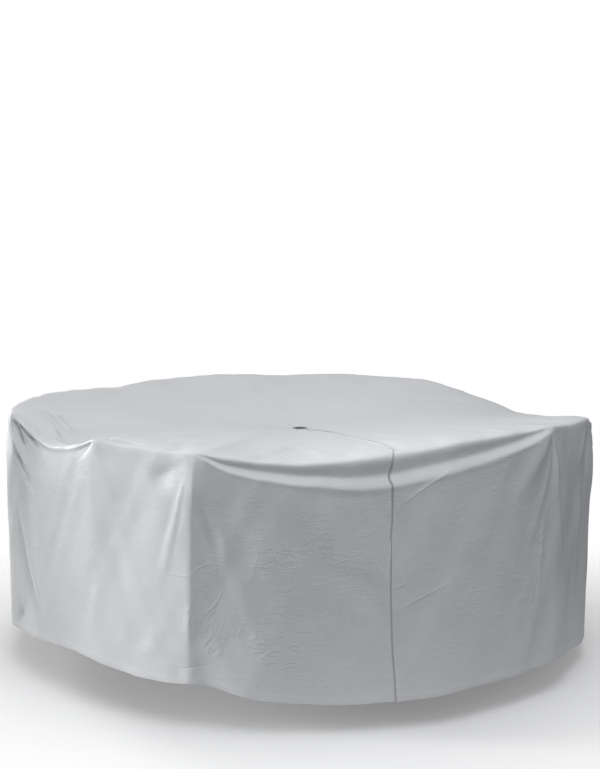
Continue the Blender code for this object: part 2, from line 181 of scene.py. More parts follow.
ROLL_WIDTH = (0.0025, 0.11)  # the width of the roll, in the same way
ROLL_BELOW = 1.25  # how much wider the roll is under its crest
FLARE_POWER = 1.5  # how late the wall flares out to the hem

# ---- Folds -------------------------------------------------------------------------------------------------
# Each runs from its start to its end, bowed to its left by bow, highest at the share peak of its length. Its
# flanks fall off over left_width and right_width, as seen by one who walks along it on the outside. Ridges
# have a height above zero, troughs below.
FOLD_COLUMNS = (
    "start_angle", "start_run", "end_angle", "end_run", "bow", "peak", "left_width", "right_width", "height",
)
FOLDS = (
    # under the left corner
    (199.7, 0.008, 215.5, 0.026, -0.002, 0.34, 0.008, 0.014, -0.0180),
    (199.7, 0.014, 206.6, 0.066, 0.000, 0.40, 0.008, 0.014, -0.0220),
    (199.4, 0.014, 208.2, 0.124, -0.004, 0.40, 0.014, 0.008, 0.0130),
    (201.2, 0.014, 211.0, 0.044, 0.000, 0.45, 0.006, 0.007, 0.0090),
    (201.0, 0.076, 210.4, 0.184, 0.000, 0.50, 0.009, 0.012, -0.0130),
    (209.0, 0.022, 228.0, 0.018, 0.000, 0.50, 0.012, 0.050, -0.0040),
    (202.4, 0.255, 219.6, 0.704, -0.038, 0.55, 0.011, 0.030, -0.0140),
    (207.6, 0.300, 223.5, 0.710, -0.014, 0.50, 0.026, 0.014, 0.0040),
    (207.1, 0.375, 212.6, 0.446, -0.004, 0.50, 0.006, 0.006, 0.0024),
    (213.2, 0.280, 219.6, 0.605, 0.025, 0.50, 0.018, 0.014, 0.0024),
    (202.6, 0.636, 208.2, 0.686, 0.000, 0.50, 0.008, 0.008, -0.0050),
    (208.6, 0.600, 201.8, 0.740, -0.004, 0.50, 0.008, 0.010, -0.0050),
    # on the top behind the left corner
    (199.4, -0.020, 212.0, -0.024, 0.002, 0.45, 0.006, 0.009, -0.0050),
    (199.0, -0.046, 225.0, -0.012, 0.015, 0.45, 0.008, 0.013, 0.0066),
    (199.0, -0.082, 218.0, -0.068, 0.006, 0.50, 0.009, 0.010, -0.0072),
    (198.0, -0.108, 217.5, -0.098, 0.002, 0.50, 0.008, 0.011, 0.0060),
    (203.0, -0.130, 216.5, -0.118, 0.002, 0.50, 0.010, 0.010, -0.0050),
    (187.0, -0.126, 206.0, -0.150, 0.006, 0.40, 0.014, 0.010, -0.0044),
    (188.0, -0.160, 199.0, -0.192, 0.000, 0.50, 0.014, 0.014, -0.0034),
    # the front left corner
    (231.0, 0.010, 226.8, 0.058, -0.002, 0.35, 0.006, 0.014, -0.0062),
    (221.0, 0.020, 231.2, 0.013, 0.000, 0.72, 0.009, 0.016, -0.0090),
    (232.3, 0.022, 234.2, 0.074, -0.002, 0.45, 0.006, 0.007, -0.0020),
    (230.0, 0.380, 230.6, 0.560, 0.000, 0.50, 0.022, 0.022, -0.0026),
    (236.6, 0.320, 237.2, 0.440, 0.000, 0.50, 0.020, 0.020, -0.0020),
    (222.0, -0.110, 241.8, -0.030, 0.000, 0.60, 0.012, 0.010, -0.0100),
    (236.4, -0.088, 247.4, -0.044, 0.010, 0.55, 0.010, 0.010, -0.0080),
    (240.0, -0.060, 249.0, -0.028, 0.004, 0.50, 0.008, 0.008, 0.0044),
    # the front left inner corner: the pocket, the long edge, and the ridge and troughs to its left
    (251.6, 0.026, 243.4, 0.104, 0.000, 0.62, 0.054, 0.026, -0.0110),
    (252.4, 0.000, 251.2, 0.840, 0.000, 0.30, 0.009, 0.018, 0.0026),
    (250.5, 0.055, 243.2, 0.480, 0.000, 0.40, 0.012, 0.024, -0.0028),
    (251.1, 0.055, 245.2, 0.470, 0.000, 0.40, 0.008, 0.009, 0.0014),
    (251.4, 0.060, 247.0, 0.480, 0.000, 0.40, 0.008, 0.009, -0.0014),
    (252.9, 0.090, 256.3, 0.400, -0.006, 0.45, 0.026, 0.016, -0.0024),
    (254.4, 0.150, 258.2, 0.360, 0.014, 0.50, 0.016, 0.014, 0.0024),
    (251.4, 0.480, 251.0, 0.620, 0.004, 0.50, 0.010, 0.020, 0.0030),
    (238.0, 0.700, 246.4, 0.612, 0.003, 0.60, 0.010, 0.012, 0.0028),
    (245.8, 0.618, 253.0, 0.634, -0.003, 0.50, 0.010, 0.012, 0.0026),
    (247.2, 0.694, 256.0, 0.664, -0.006, 0.45, 0.009, 0.010, -0.0032),
    # the front, below its swag
    (266.0, 0.100, 287.0, 0.136, 0.003, 0.50, 0.022, 0.026, -0.0018),
    (286.0, 0.180, 299.5, 0.066, 0.008, 0.55, 0.008, 0.014, 0.0030),
    (274.4, 0.362, 286.6, 0.462, 0.023, 0.50, 0.014, 0.016, -0.0034),
    (276.8, 0.402, 284.2, 0.460, 0.001, 0.50, 0.014, 0.016, -0.0026),
    (274.4, 0.502, 284.4, 0.556, 0.005, 0.50, 0.010, 0.013, -0.0026),
    (277.0, 0.540, 283.0, 0.578, 0.000, 0.50, 0.010, 0.013, -0.0022),
    (273.0, 0.326, 281.0, 0.334, 0.007, 0.50, 0.012, 0.014, 0.0018),
    (283.6, 0.520, 297.0, 0.438, 0.000, 0.45, 0.008, 0.012, 0.0030),
    (290.8, 0.350, 295.8, 0.394, -0.001, 0.50, 0.010, 0.012, 0.0018),
    (279.0, 0.742, 292.5, 0.728, -0.006, 0.50, 0.012, 0.014, -0.0026),
    (262.0, 0.560, 269.5, 0.548, 0.003, 0.50, 0.016, 0.018, 0.0022),
    (261.0, 0.640, 271.5, 0.606, 0.010, 0.55, 0.014, 0.016, 0.0024),
    # under the front right corner
    (321.8, 0.004, 299.0, 0.084, 0.006, 0.30, 0.070, 0.007, 0.0090),
    (321.0, 0.014, 309.6, 0.275, -0.014, 0.40, 0.042, 0.046, 0.0130),
    (321.2, 0.020, 317.8, 0.300, 0.004, 0.45, 0.009, 0.014, 0.0048),
    (320.6, 0.120, 313.6, 0.470, -0.004, 0.45, 0.014, 0.018, 0.0046),
    (319.6, 0.250, 317.6, 0.640, -0.006, 0.50, 0.009, 0.012, 0.0034),
    (321.6, -0.006, 329.8, 0.740, -0.024, 0.22, 0.015, 0.024, 0.0075),
    (323.6, 0.060, 326.0, 0.420, -0.008, 0.40, 0.016, 0.012, -0.0032),
    (316.4, 0.560, 314.6, 0.800, 0.004, 0.60, 0.012, 0.014, 0.0030),
    # under the right corner
    (340.6, -0.010, 341.0, 0.700, 0.000, 0.25, 0.022, 0.018, 0.0090),
    (338.6, 0.010, 335.0, 0.420, 0.004, 0.30, 0.014, 0.018, -0.0060),
    (339.0, 0.012, 332.6, 0.190, 0.000, 0.40, 0.010, 0.013, 0.0050),
    (335.0, 0.100, 333.5, 0.820, 0.000, 0.50, 0.016, 0.024, 0.0032),
    # round the back
    (58.0, -0.010, 56.0, 0.600, 0.010, 0.25, 0.026, 0.024, 0.0110),
    (61.5, 0.040, 62.5, 0.500, 0.000, 0.35, 0.034, 0.028, -0.0070),
    (54.0, 0.030, 46.0, 0.420, 0.014, 0.30, 0.030, 0.026, 0.0060),
    (82.0, -0.010, 83.5, 0.550, 0.000, 0.25, 0.026, 0.026, 0.0100),
    (85.0, 0.030, 90.0, 0.380, 0.010, 0.30, 0.028, 0.024, -0.0060),
    (106.0, -0.010, 104.5, 0.660, 0.000, 0.25, 0.026, 0.026, 0.0110),
    (109.5, 0.050, 110.5, 0.500, 0.000, 0.35, 0.034, 0.030, -0.0070),
    (103.0, 0.030, 98.0, 0.360, 0.010, 0.30, 0.028, 0.024, -0.0050),
    (130.0, -0.010, 132.5, 0.600, 0.010, 0.25, 0.026, 0.026, 0.0110),
    (133.5, 0.030, 141.0, 0.430, 0.012, 0.30, 0.030, 0.026, 0.0055),
    (166.0, -0.010, 164.0, 0.640, 0.000, 0.25, 0.026, 0.026, 0.0110),
    (163.0, 0.030, 156.0, 0.380, 0.012, 0.30, 0.028, 0.026, -0.0060),
    (170.0, 0.040, 172.0, 0.450, 0.000, 0.35, 0.034, 0.030, -0.0070),
    (184.0, 0.300, 190.0, 0.760, 0.010, 0.60, 0.040, 0.034, 0.0060),
    (20.0, 0.100, 30.0, 0.720, 0.020, 0.50, 0.045, 0.040, 0.0090),
    (344.5, 0.040, 356.0, 0.420, 0.016, 0.30, 0.030, 0.034, -0.0070),
    (343.0, 0.030, 352.0, 0.500, 0.010, 0.30, 0.024, 0.030, 0.0060),
)
FOLD_CREST = 1.6  # the power of the bell across a fold: under 2 its crest is crisper
FOLD_FADE = 1.4  # the power of its arch, so that it fades out at its ends
FOLD_START = 0.45  # the share of its width that a fold has where it starts
FOLD_OPEN = 0.35  # and the share of its length by which it has all of it

# Waves in the hem: number round the cover, height, and phase in degrees.
WAVES = ((7, 0.0050, 40.0), (13, 0.0040, 200.0), (22, 0.0024, 95.0))
# Slow unevenness of the whole cloth: waves round, waves along each metre, height, and phase.
UNEVENNESS = (
    (23, 1.9, 0.0011, 0.3), (31, 2.7, 0.0009, 2.1), (41, -2.3, 0.0007, 4.0), (53, 3.6, 0.0005, 1.2),
    (17, -3.1, 0.0010, 5.1), (67, -4.4, 0.0004, 2.9),
)
WANDER, WANDER_PACE = 1.3, 0.37  # how far these waves wander, and how slowly

# ---- The grid ----------------------------------------------------------------------------------------------
COLUMN_COLUMNS = ("end_angle", "step")
COLUMN_STEPS = (  # from the closing line once round to it
    (308.0, 0.80), (317.0, 0.48), (325.0, 0.30), (345.0, 0.60), (552.0, 1.30), (559.0, 0.55), (570.0, 0.24),
    (588.0, 0.66), (596.0, 0.45), (607.0, 0.66), (618.0, 0.30), (645.7, 0.78),
)
# Rows: shares of the top, runs behind and under the rim, shares of the wall, and depths of the hem.
TOP_SHARES = (0.0, 0.004, 0.012, 0.028, 0.05, 0.09, 0.14, 0.20, 0.27, 0.34, 0.42, 0.50, 0.58, 0.66, 0.74)
TOP_REST = 0.08  # the share of the top between those and the next row
BEHIND_RIM = np.concatenate([np.linspace(-0.235, -0.075, 11), np.linspace(-0.062, 0.138, 38)])
WALL_SHARES = np.linspace(0.0, 1.0, 34)[1:]
HEM_DEPTHS = (0.026, 0.022, 0.017, 0.009, 0.0035, 0.0012, 0.0)
HEM_FOLD = 0.024  # how deep the hem is turned up, behind its row of stitches
HEM_GROOVE, HEM_BULGE, HEM_TURN = 0.0006, 0.0005, 0.0009
GROOVE_WIDTH, BULGE_RISE, TURN_DEPTH = 0.003, 0.008, 0.0012


def table(columns, rows):
    """Each column of a table by its name."""
    return dict(zip(columns, np.array(rows, float).T))


def softness_at(angle):
    """The degrees over which the sections blend at an angle."""
    softness = table(SOFTNESS_COLUMNS, SOFTNESS)
    return np.interp(angle, softness["angle"], softness["softness"], period=360)


def around(name, angle, share=1.0):
    """One column of the sections at any angle: joined by straight lines, then averaged over an arc."""
    section = table(SECTION_COLUMNS, SECTIONS)
    weights = np.exp(-0.5 * BLEND_PLACES**2)
    arc = softness_at(angle) * share
    samples = [np.interp(angle + o * arc, section["angle"], section[name], period=360) for o in BLEND_PLACES]
    return np.tensordot(weights / weights.sum(), np.array(samples), 1)


def drop_at(angle):
    """The length of the wall, from the rim to the hem."""
    return around("rim_height", angle, HEIGHT_SHARE) - around("hem_height", angle, HEIGHT_SHARE)


def smooth(x):
    """0 up to x = 0 and 1 from x = 1, with no corner between."""
    x = np.clip(x, 0.0, 1.0)
    return x * x * (3.0 - 2.0 * x)


def one_sided(run, shoulder):
    """0 well before the rim and the run itself well after it, rounded over the shoulder."""
    return (run + np.sqrt(run**2 + 4.0 * shoulder**2)) / 2.0


def arch(along, peak):
    """0 at both ends of 0 to 1 and 1 at the peak: a sine of a power of the way along."""
    power = math.log(0.5) / math.log(peak)
    inside = (along > 0.0) & (along < 1.0)
    return np.where(inside, np.sin(math.pi * np.clip(along, 0.0, 1.0) ** power), 0.0)


def front_sag(angle):
    """The share of its fall that the front swag has at an angle: the table's lines, rounded."""
    front = table(SAG_COLUMNS, FRONT_SAG)
    samples = [
        np.interp(angle % 360.0 + o, front["angle"], front["fall"], left=0.0, right=0.0) for o in SAG_PLACES
    ]
    return np.mean(samples, axis=0) / FRONT_FALL


def swag_at(angle):
    """The fall, tuck and roll of the swags at an angle, and the share of a full swag there."""
    sag = front_sag(angle)
    total = {"fall": FRONT_FALL * sag, "share": smooth(sag / SWAG_FULL)}
    total["tuck"], total["roll"] = FRONT_TUCK * np.sqrt(sag), FRONT_ROLL * np.sqrt(sag)
    for row in SWAGS:
        swag = dict(zip(SWAG_COLUMNS, row))
        span = swag["end"] - swag["start"]
        sag = arch(((angle - swag["start"]) % 360.0) / span, (swag["lowest"] - swag["start"]) / span)
        total["fall"] += swag["fall"] * sag
        total["tuck"] += swag["tuck"] * np.sqrt(sag)
        total["roll"] += swag["roll"] * np.sqrt(sag)
        total["share"] += smooth(sag / SWAG_FULL)
    return total


def fold_relief(angle, run, radius):
    """How far the folds stand out. A fold's height is that of its arch along its line, times a bell across
    it. The bell's two flanks have widths of their own, and open out from where the fold starts."""
    relief = np.zeros_like(run)
    for row in FOLDS:
        fold = dict(zip(FOLD_COLUMNS, row))
        turn = (angle - fold["start_angle"] + 180.0) % 360.0 - 180.0
        across = np.radians(turn) * radius
        length_across = math.radians(fold["end_angle"] - fold["start_angle"]) * MEAN_RADIUS
        length_down = fold["end_run"] - fold["start_run"]
        length = math.hypot(length_across, length_down)
        down = run - fold["start_run"]
        along = (across * length_across + down * length_down) / length**2
        side = (across * length_down - down * length_across) / length
        side -= fold["bow"] * np.sin(math.pi * np.clip(along, 0.0, 1.0))
        width = np.where(side > 0.0, fold["left_width"], fold["right_width"])
        width = width * (FOLD_START + (1.0 - FOLD_START) * smooth(along / FOLD_OPEN))
        crest = np.exp(-(np.abs(side / width) ** FOLD_CREST))
        relief += fold["height"] * arch(along, fold["peak"]) ** FOLD_FADE * crest
    return relief


def draped(angle, run):
    """Points of the cloth's outer face. The top climbs from the hole to the rim, the shoulder turns it
    down, the wall steps out under the swags and runs on to the hem, and the folds stand out along the
    face's own direction."""
    rim_radius = around("rim_radius", angle)
    rim_height = around("rim_height", angle, HEIGHT_SHARE)
    wall_radius, hem_radius = around("wall_radius", angle), around("hem_radius", angle)
    shoulder = around("shoulder", angle)
    drop = drop_at(angle)
    swag = swag_at(angle)

    inward = np.clip(-run, 0.0, None)
    climb = np.clip((rim_radius - inward - FLAT_RADIUS) / (rim_radius - FLAT_RADIUS), 0.0, 1.0)
    top = TOP_RISE * (1.0 - (1.0 - climb) ** CONE_POWER) + (rim_height - TOP_RISE) * climb**RIM_REACH

    knee = (run / np.maximum(swag["fall"], LEAST_FALL) - STEP_START) / (STEP_END - STEP_START)
    stepped = smooth(run / STEP_RUN) * (1.0 - swag["share"])
    stepped += np.clip(knee, 0.0, 1.0) ** KNEE_POWER * swag["share"]
    flared = np.clip(run / drop, 0.0, None) ** FLARE_POWER
    radius = rim_radius + (wall_radius - rim_radius) * stepped + (hem_radius - wall_radius) * flared

    tuck_run = run - TUCK_PLACE * swag["fall"]
    above, below, roll_width = (w[0] + w[1] * swag["fall"] for w in (TUCK_ABOVE, TUCK_BELOW, ROLL_WIDTH))
    tuck_width = np.where(tuck_run > 0.0, below, above)
    relief = fold_relief(angle, run, radius)
    relief -= swag["tuck"] * np.exp(-((tuck_run / tuck_width) ** 2))
    roll_width = np.where(run > swag["fall"], ROLL_BELOW, 1.0) * roll_width
    relief += swag["roll"] * np.exp(-(((run - swag["fall"]) / roll_width) ** 2))
    for count, height, phase in WAVES:
        relief += height * np.sin(np.radians(count * angle + phase)) * smooth(run / drop) ** 2
    for count, pace, height, phase in UNEVENNESS:
        swing = np.radians(count * angle) + math.tau * pace * run + phase
        relief += height * np.sin(swing + WANDER * np.sin(WANDER_PACE * swing)) * climb
    relief += hem_relief(drop - run)

    past, before = one_sided(run, shoulder), one_sided(-run, shoulder)
    steep = (1.0 + run / np.sqrt(run**2 + 4.0 * shoulder**2)) / 2.0
    face = np.hypot(steep, 1.0 - steep)
    radius = radius - before + relief * steep / face
    height = CLOTH_THICKNESS + top - past + relief * (1.0 - steep) / face
    turn = np.radians(angle)
    return np.stack([radius * np.cos(turn), radius * np.sin(turn), height], axis=-1)


def hem_relief(depth):
    """The turned-up hem, by the depth from its edge: a groove under the stitches, a slight bulge, and the
    edge itself turning in."""
    groove = -HEM_GROOVE * np.exp(-(((depth - HEM_FOLD) / GROOVE_WIDTH) ** 2))
    bulge = HEM_BULGE * smooth((HEM_FOLD - depth) / BULGE_RISE)
    return groove + bulge - HEM_TURN * np.exp(-np.clip(depth, 0.0, None) / TURN_DEPTH)


def row_runs(angle):
    """The run of each row: shares of the top, fixed runs behind and under the rim, shares of the wall down
    to the hem, and depths of the hem."""
    hole_run = (HOLE_RADIUS - around("rim_radius", angle))[..., None]
    hem_run = drop_at(angle)[..., None]
    first, last = BEHIND_RIM[0], BEHIND_RIM[-1]
    top = hole_run + (first - hole_run) * np.array(TOP_SHARES) / (TOP_SHARES[-1] + TOP_REST)
    fixed = BEHIND_RIM + 0.0 * hole_run
    wall = last + (hem_run - HEM_DEPTHS[0] - last) * WALL_SHARES
    hem = hem_run - np.array(HEM_DEPTHS[1:])
    return np.concatenate([top, fixed, wall, hem], axis=-1)


def column_angles():
    """The columns once round from the closing line, closer where the cloth is more folded."""
    angles, start = [], CLOSING_ANGLE
    for row in COLUMN_STEPS:
        end, step = (dict(zip(COLUMN_COLUMNS, row))[name] for name in ("end_angle", "step"))
        count = math.ceil((end - start) / step)
        angles.append(np.linspace(start, end, count, endpoint=False))
        start = end
    return np.concatenate([*angles, [start]])


def closing_stray(run):
    """How many degrees the closing line strays from its angle at a run."""
    closing = table(CLOSING_COLUMNS, CLOSING)
    return np.interp(run, closing["run"], closing["stray"])


def beside_closing(offset, radius):
    """The angle in degrees that lies offset to one side of the closing line, at a radius."""
    return np.degrees(np.arcsin(offset / radius))


def plan_radius(points):
    """How far from the hole's axis each point is."""
    return np.hypot(points[..., 0], points[..., 1])


def grid_object(name, points, maps, closed=False):
    """A mesh over a grid of points. Each UV map in maps is one or more layouts, with the first row of faces
    that each is for. Closed joins the last row of points to the first, as round a tube."""
    columns, rows = points.shape[:2]
    index = np.arange(columns * rows).reshape(columns, rows)
    if closed:
        index = np.concatenate([index, index[:, :1]], axis=1)
    corners = (index[:-1, :-1], index[:-1, 1:], index[1:, 1:], index[1:, :-1])
    faces = np.stack([c.ravel() for c in corners], axis=1)
    mesh = bpy.data.meshes.new(name)
    mesh.from_pydata(points.reshape(-1, 3), [], faces)
    for label, layouts in maps.items():
        corner_values = np.zeros((len(faces), 4, 2), np.float32)
        for first_row, values in layouts:
            covered = faces[:, 0] % rows >= first_row
            corner_values[covered] = values.reshape(-1, 2)[faces[covered]]
        mesh.uv_layers.new(name=label).data.foreach_set("uv", corner_values.ravel())
    made = bpy.data.objects.new(name, mesh)
    bpy.context.scene.collection.objects.link(made)
    return made


def give_thickness(sheet):
    """Solidify on the inner side, made real, with the cut edges kept sharp and the rest smooth."""
    solidify = sheet.modifiers.new("Thickness", "SOLIDIFY")
    solidify.thickness = CLOTH_THICKNESS
    solidify.offset = -1.0
    graph = bpy.context.evaluated_depsgraph_get()
    mesh = bpy.data.meshes.new_from_object(sheet.evaluated_get(graph))
    sheet.modifiers.clear()
    sheet.data = mesh
    mesh.shade_smooth()
    mesh.set_sharp_from_angle(angle=math.radians(SHARP_ANGLE))


def cover_cloth():
    """The cover: one sheet from the hole to the hem, open along the closing line. Its first UV map is the
    cut: the round top flat, the wall unrolled. Its second is the distance from the closing and the hem."""
    columns = column_angles()
    runs = row_runs(columns)
    columns = np.repeat(columns[:, None], runs.shape[1], axis=1)
    aside = beside_closing(STRIP_WIDTH / 2.0 + SEWN_GAP, plan_radius(draped(columns, runs)))
    share = (columns - CLOSING_ANGLE) / 360.0
    near = np.exp(-(np.minimum(share, 1.0 - share) / STRAY_SHARE) ** 2)
    angles = columns + aside * (1.0 - 2.0 * share) + closing_stray(runs) * near
    drop = drop_at(angles)
    shift = runs[:, -1:] - drop
    runs = runs - shift * smooth(runs / drop)
    points = draped(angles, runs)

    unrolled = np.stack([np.radians(columns) * MEAN_RADIUS, runs], axis=-1)
    rim_row = int(np.sum(runs[0] < 0.0)) - 1
    cut = ((0, points[..., :2]), (rim_row, unrolled))
    from_closing = np.radians(np.minimum(share, 1.0 - share) * 360.0) * plan_radius(points)
    edges = np.stack([from_closing, drop - runs], axis=-1)
    sheet = grid_object("cover_cloth.sheet", points, {"Cut": cut, "Edges": ((0, edges),)})
    give_thickness(sheet)
    return sheet


def closing_strip():
    """The narrow strip in the cloth's opening: rows of points side by side, crowned like an arch, with the
    small seam of its closed edges along the middle."""
    sides = STRIP_SIDES
    runs = np.repeat(row_runs(np.full(1, CLOSING_ANGLE)), len(sides), axis=0)
    runs[:, 0] = runs[:, 0] - 2.0 * BINDING_RADIUS
    angles = CLOSING_ANGLE + closing_stray(runs)
    radius = plan_radius(draped(angles, runs))
    angles = angles + beside_closing(sides[:, None] * STRIP_WIDTH / 2.0, radius)
    shift = runs[:, -1:] - drop_at(angles[:, -1:])
    runs = runs - shift * smooth(runs / runs.max())
    points = draped(angles, runs)
    outward = np.cross(np.gradient(points, axis=1), np.gradient(points, axis=0))
    outward /= np.linalg.norm(outward, axis=2, keepdims=True)
    rise = STRIP_CROWN + (TOP_CROWN - STRIP_CROWN) * smooth(-runs / CROWN_FADE)
    crown = rise * (1.0 - sides**2 + SEAM_HEIGHT * np.exp(-((sides / SEAM_WIDTH) ** 2)))[:, None]
    points = points + outward * crown[..., None]
    along = np.stack([sides[:, None] * STRIP_WIDTH / 2.0 + 0.0 * runs, runs], axis=-1)
    strip = grid_object("closing_strip.tape", points, {"Along": ((0, along),)})
    give_thickness(strip)
    return strip


def hole_binding():
    """The bound edge round the hole: a bead, open where the strip runs through. Its section is a circle
    that swells where threads run slantwise over it, and its two ends are rounded shut."""
    path_radius = HOLE_RADIUS - SEWN_GAP - BINDING_RADIUS
    gap = beside_closing(STRIP_WIDTH / 2.0 + SEWN_GAP, path_radius)
    hole_run = HOLE_RADIUS - around("rim_radius", np.array([CLOSING_ANGLE]))[0]
    start = CLOSING_ANGLE + closing_stray(hole_run)
    angle = np.radians(np.linspace(start + gap, start + 360.0 - gap, BEAD_STEPS))[:, None]
    around_bead = np.linspace(0.0, math.tau, BEAD_SIDES, endpoint=False)[None, :]
    threads = THREAD_HEIGHT * np.cos(THREAD_TURNS * angle + around_bead)
    steps = np.arange(BEAD_STEPS)
    ends = np.minimum(steps, steps[::-1])[:, None] / BEAD_END
    rounding = np.sqrt(1.0 - (1.0 - np.clip(ends, BEAD_LEAST, 1.0)) ** 2)
    bead = (BINDING_RADIUS + threads - THREAD_HEIGHT) * rounding
    radius = path_radius - bead * np.cos(around_bead)
    height = CLOTH_THICKNESS / 2.0 + bead * np.sin(around_bead)
    points = np.stack([radius * np.cos(angle), radius * np.sin(angle), height + 0.0 * angle], axis=-1)
    along = np.stack([angle * path_radius + 0.0 * around_bead, around_bead + 0.0 * angle], axis=-1)
    binding = grid_object("hole_binding.bead", points, {"Along": ((0, along),)}, closed=True)
    binding.data.shade_smooth()
    return binding


# ---- Finishes ----------------------------------------------------------------------------------------------
class Value:
    """A number in a finish's nodes. Arithmetic on it adds Math nodes."""

    def __init__(self, finish, socket):
        self.finish, self.socket = finish, socket

    def maths(self, operation, *values):
        return self.finish.maths(operation, *values)

    def __add__(self, other):
        return self.maths("ADD", self, other)

    def __sub__(self, other):
        return self.maths("SUBTRACT", self, other)

    def __rsub__(self, other):
        return self.maths("SUBTRACT", other, self)

    def __mul__(self, other):
        return self.maths("MULTIPLY", self, other)

    def __truediv__(self, other):
        return self.maths("DIVIDE", self, other)

    def __neg__(self):
        return self * -1.0

    __radd__, __rmul__ = __add__, __mul__


class Finish:
    """A Principled material, built up node by node."""

    def __init__(self, name, **sockets):
        self.material = bpy.data.materials.new(name)
        self.material.use_nodes = True
        self.tree = self.material.node_tree
        self.shader = self.tree.nodes["Principled BSDF"]
        for label, value in sockets.items():
            self.feed(self.shader.inputs[label.replace("_", " ").title().replace("Ior", "IOR")], value)

    def feed(self, socket, value):
        """Sets a socket to a number or colour, or links it to a value or another socket."""
        if isinstance(value, Value):
            value = value.socket
        if isinstance(value, bpy.types.NodeSocket):
            self.tree.links.new(value, socket)
        else:
            socket.default_value = value

    def node(self, kind, settings=None, inputs=None):
        """A node of a type: first its settings, then the values or links of its sockets."""
        made = self.tree.nodes.new(kind)
        for label, value in (settings or {}).items():
            setattr(made, label, value)
        for label, value in (inputs or {}).items():
            self.feed(made.inputs[label], value)
        return made

    def maths(self, operation, *values):
        inputs = dict(enumerate(values))
        return Value(self, self.node("ShaderNodeMath", {"operation": operation}, inputs).outputs[0])

    def map_of(self, label):
        """The two numbers of a UV map."""
        made = self.node("ShaderNodeUVMap", {"uv_map": label})
        split = self.node("ShaderNodeSeparateXYZ", inputs={0: made.outputs[0]})
        return Value(self, split.outputs[0]), Value(self, split.outputs[1])

    def vector(self, x, y, z=0.0):
        return self.node("ShaderNodeCombineXYZ", inputs={0: x, 1: y, 2: z}).outputs[0]

    def place(self):
        """Object coordinates."""
        return self.node("ShaderNodeTexCoord").outputs["Object"]

    def noise(self, vector, scale, detail, roughness, distortion):
        inputs = {"Vector": vector, "Scale": scale, "Detail": detail, "Roughness": roughness}
        inputs["Distortion"] = distortion
        return Value(self, self.node("ShaderNodeTexNoise", inputs=inputs).outputs[0])

    def ramp(self, value, low, high):
        """0 below low and 1 above high, with no corner between."""
        settings = {"interpolation_type": "SMOOTHSTEP"}
        inputs = {"Value": value, "From Min": low, "From Max": high}
        return Value(self, self.node("ShaderNodeMapRange", settings, inputs).outputs[0])

    def bell(self, value, middle, width):
        """1 at the middle, falling off over the width."""
        off = (value - middle) / width
        return self.maths("EXPONENT", -(off * off))

    def sine(self, value):
        return self.maths("SINE", value)

    def wave(self, value, pitch):
        """A sine that repeats at each pitch."""
        return self.sine(value * (math.tau / pitch))

    def mix(self, share, one, other):
        """A blend of two colours. Sockets 6 and 7, and output 2, are the node's colours."""
        made = self.node("ShaderNodeMix", {"data_type": "RGBA"}, {"Factor": share, 6: one, 7: other})
        return made.outputs[2]

    def raise_by(self, height):
        """Bump, from a height in metres."""
        bump = self.node("ShaderNodeBump", inputs={"Strength": 1.0, "Distance": 1.0, "Height": height})
        self.feed(self.shader.inputs["Normal"], bump.outputs[0])


# Thin creases in the fabric's finish, each from its start to its end, bowed to the left.
CREASE_COLUMNS = ("start_angle", "start_run", "end_angle", "end_run", "bow", "width", "height")
CREASES = (
    # on the top, inside the far left corner
    (188.3, -0.086, 215.6, -0.101, 0.000, 0.0090, -0.0046),
    (194.0, -0.076, 213.5, -0.080, 0.000, 0.0080, -0.0038),
    (191.1, -0.112, 211.2, -0.151, 0.012, 0.0110, -0.0046),
    (222.0, -0.070, 239.0, -0.050, 0.000, 0.0090, -0.0034),
    # on the wall
    (200.0, 0.018, 205.8, 0.060, 0.000, 0.0050, -0.0050),
    (200.6, 0.016, 209.8, 0.036, 0.000, 0.0042, 0.0030),
    (200.0, 0.030, 207.4, 0.114, -0.003, 0.0045, 0.0032),
    (201.6, 0.086, 209.6, 0.170, 0.000, 0.0045, -0.0032),
    (203.3, 0.292, 219.1, 0.684, -0.034, 0.0045, 0.0016),
    (252.0, 0.388, 255.3, 0.333, 0.004, 0.0034, 0.0011),
    (247.3, 0.383, 251.9, 0.388, -0.003, 0.0030, 0.0008),
    (257.1, 0.418, 253.5, 0.511, 0.009, 0.0036, 0.0013),
    (252.8, 0.507, 253.7, 0.585, 0.000, 0.0032, 0.0008),
    (286.3, 0.500, 297.0, 0.440, 0.000, 0.0034, 0.0011),
    (285.9, 0.432, 288.9, 0.409, 0.000, 0.0030, 0.0009),
    (286.0, 0.176, 299.0, 0.068, 0.008, 0.0036, 0.0012),
    (247.5, 0.692, 255.0, 0.665, -0.006, 0.0030, -0.0011),
)


def angle_across(angle):
    """Where an angle lies across the cut, which starts at the closing line."""
    return math.radians(angle + 360.0 * (angle < CLOSING_ANGLE)) * MEAN_RADIUS


def place_in_cut(angle, run):
    """Where an angle and a run lie in the cut: on the unrolled wall, or on the flat top if run is below 0."""
    if run >= 0.0:
        return angle_across(angle), run
    turn, radius = math.radians(angle), MEAN_RADIUS + run
    return radius * math.cos(turn), radius * math.sin(turn)


